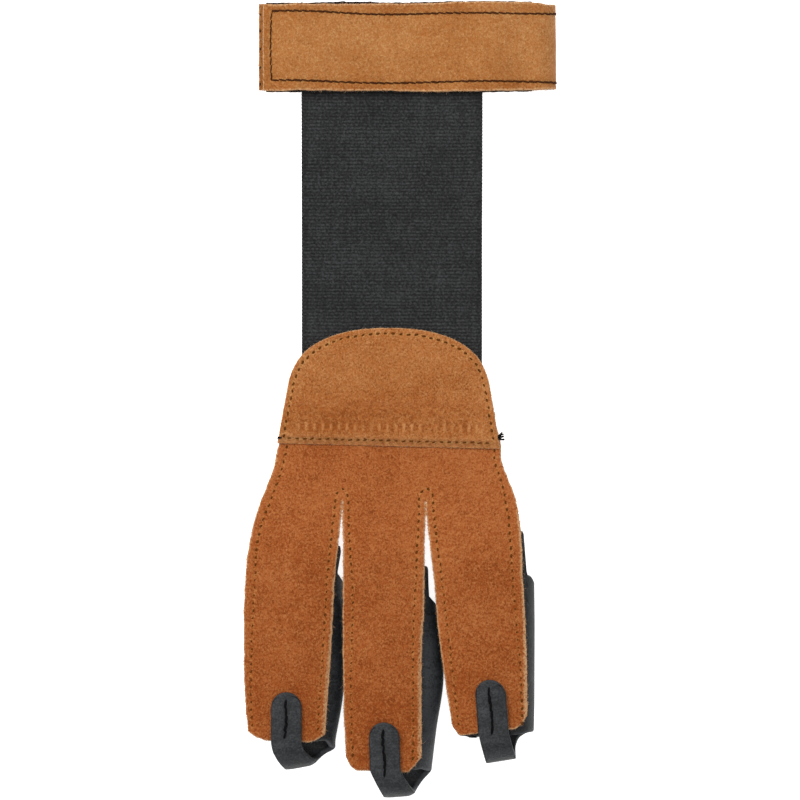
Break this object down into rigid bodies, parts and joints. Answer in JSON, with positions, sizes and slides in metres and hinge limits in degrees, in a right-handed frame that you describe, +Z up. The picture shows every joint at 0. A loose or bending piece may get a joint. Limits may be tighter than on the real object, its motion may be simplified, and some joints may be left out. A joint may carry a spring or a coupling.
{
  "type": "archery glove",
  "caption": "Right-hand archery shooting glove: suede finger strips with leather stalls, joined by an elastic band to a wrist strap; lying palm down.",
  "frame": {"origin": "on the surface that the glove lies on, under the middle of its whole outline", "axes": "+Z up from the surface, the back of the hand up; +Y from the fingertips to the wrist; +X to the right from above, the thumb's side"},
  "size_m": [0.0876, 0.223, 0.0144],
  "materials": {
    "suede": "tan suede, napped",
    "stall_leather": "black, fine grain, satin",
    "elastic": "ribbed woven elastic",
    "tape": "hook and loop tape",
    "thread": "waxed sewing thread"
  },
  "bodies": {
    "root": {"wrist_strap": "suede", "loop_tape": "tape", "hook_tape": "tape", "elastic_band": "elastic", "crown_patch": "suede", "hand_panel": "suede", "finger_stall_left": "stall_leather", "finger_stall_middle": "stall_leather", "finger_stall_right": "stall_leather"}
  },
  "joints": []
}
